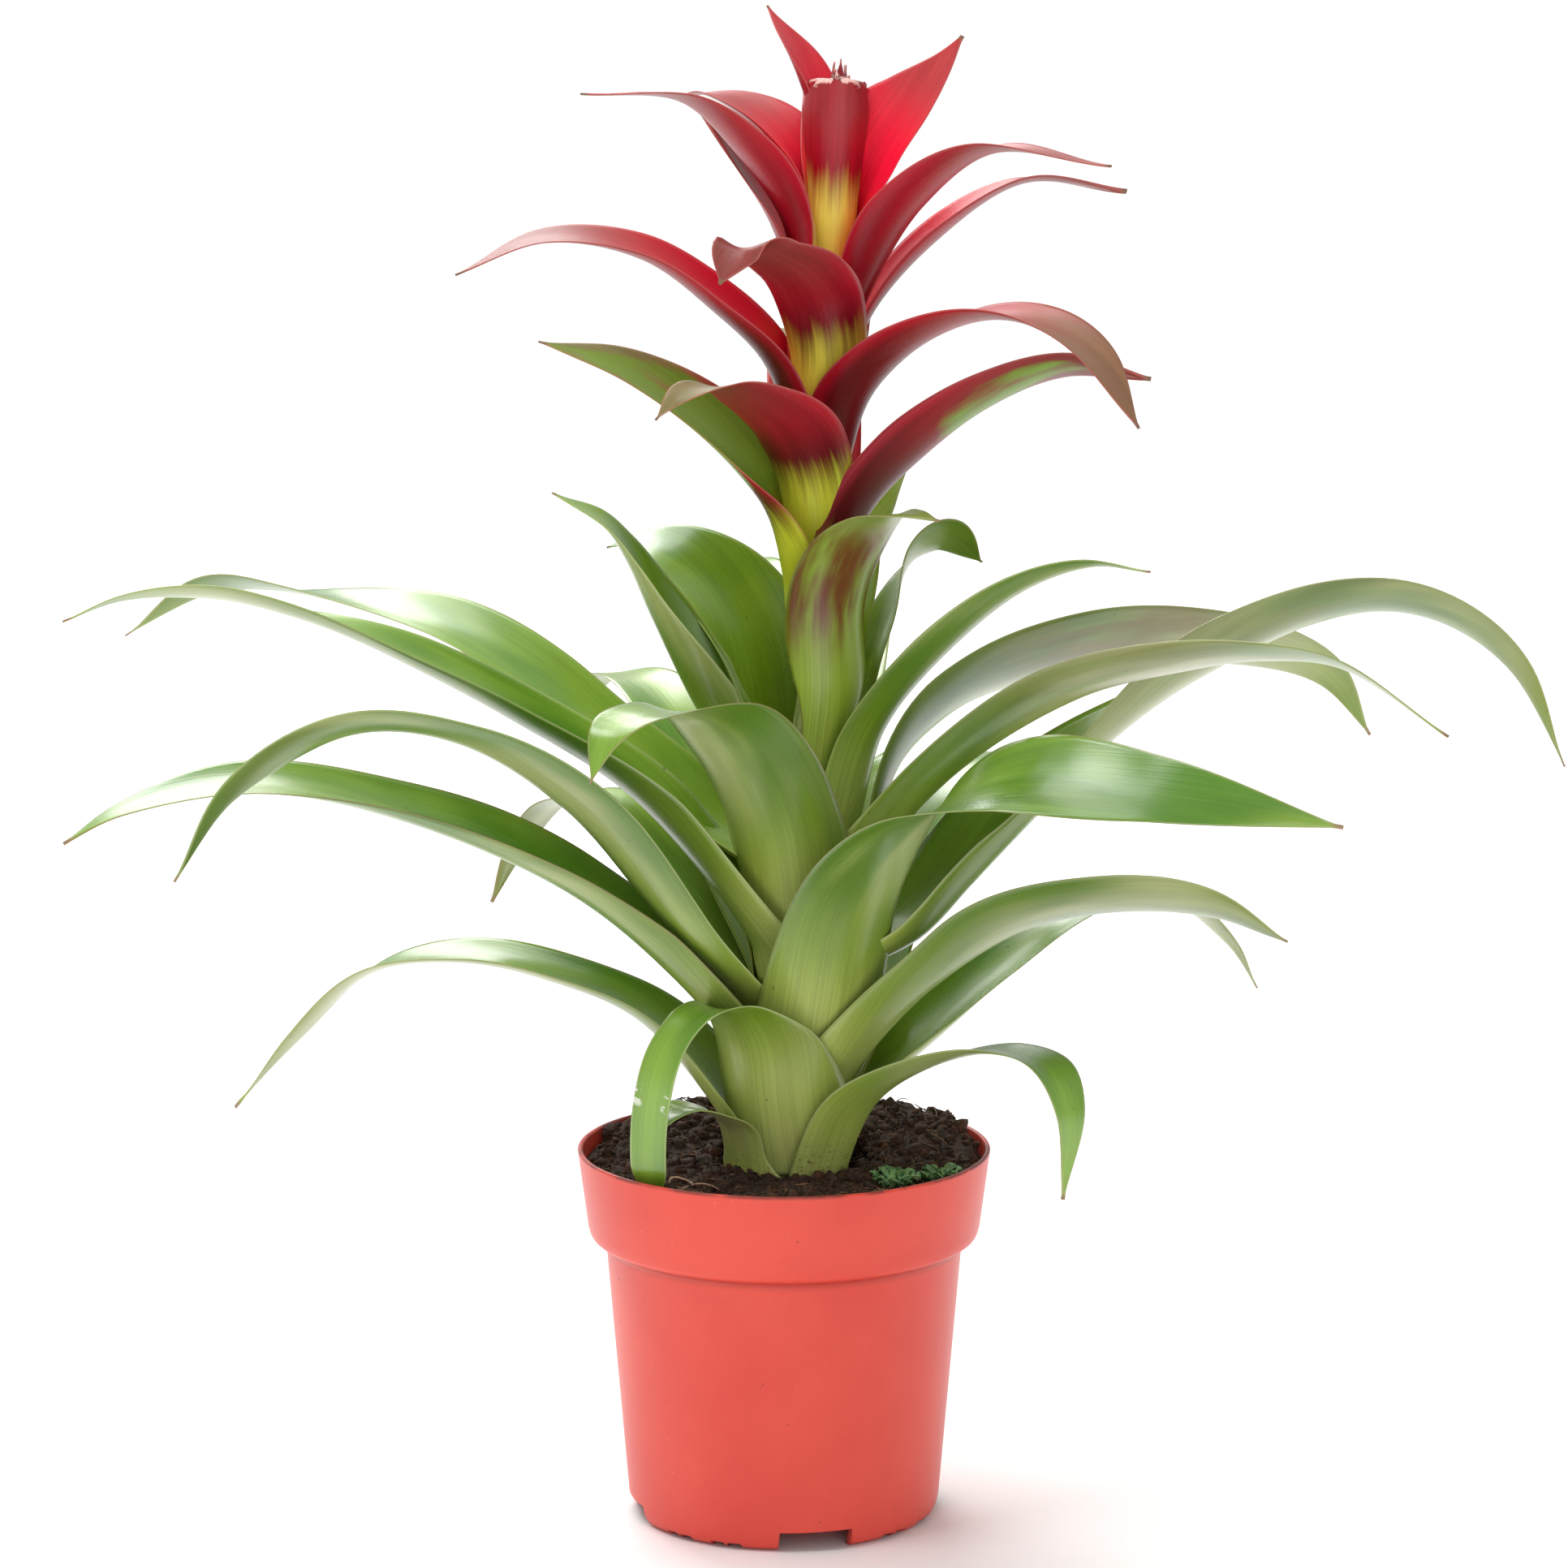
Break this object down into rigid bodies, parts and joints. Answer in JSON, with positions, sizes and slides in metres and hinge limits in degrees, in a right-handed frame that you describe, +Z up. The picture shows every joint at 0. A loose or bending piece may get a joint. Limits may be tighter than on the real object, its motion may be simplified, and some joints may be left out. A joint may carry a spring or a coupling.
{
  "type": "potted indian night guzmania",
  "caption": "Bromeliad with arching strap leaves and a spike of red bracts, rooted in soil in a round tapered nursery pot with arched foot.",
  "frame": {"origin": "centre of the pot's foot, in the plane that the pot stands on", "axes": "+Z up along the pot's axis, -Y towards the picture's camera, +X to its right"},
  "size_m": [0.4321, 0.2712, 0.4373],
  "materials": {
    "pot": "semi-matte, faint specks",
    "soil": "matte peat crumbs",
    "stem": "matte",
    "leaf": "waxy, fine lengthwise veins",
    "flower_head": "satin",
    "bract": "waxy, yellow-green at the base"
  },
  "bodies": {
    "root": {"pot": "pot", "soil": "soil", "stem": "stem", "leaf_01": "leaf", "leaf_02": "leaf", "leaf_03": "leaf", "leaf_04": "leaf", "leaf_05": "leaf", "leaf_06": "leaf", "leaf_07": "leaf", "leaf_08": "leaf", "leaf_09": "leaf", "leaf_10": "leaf", "leaf_11": "leaf", "leaf_12": "leaf", "leaf_13": "leaf", "leaf_14": "leaf", "leaf_15": "leaf", "leaf_16": "leaf", "leaf_17": "leaf", "leaf_18": "leaf", "leaf_19": "leaf", "leaf_20": "leaf", "leaf_21": "leaf", "leaf_22": "leaf", "leaf_23": "leaf", "leaf_24": "leaf", "leaf_25": "leaf", "leaf_26": "leaf", "leaf_27": "leaf", "flower_head": "flower_head", "bract_01": "bract", "bract_02": "bract", "bract_03": "bract", "bract_04": "bract", "bract_05": "bract", "bract_06": "bract", "bract_07": "bract", "bract_08": "bract", "bract_09": "bract", "bract_10": "bract", "bract_11": "bract", "bract_12": "bract", "bract_13": "bract", "bract_14": "bract", "bract_15": "bract", "bract_16": "bract", "bract_17": "bract", "bract_18": "bract"}
  },
  "joints": []
}
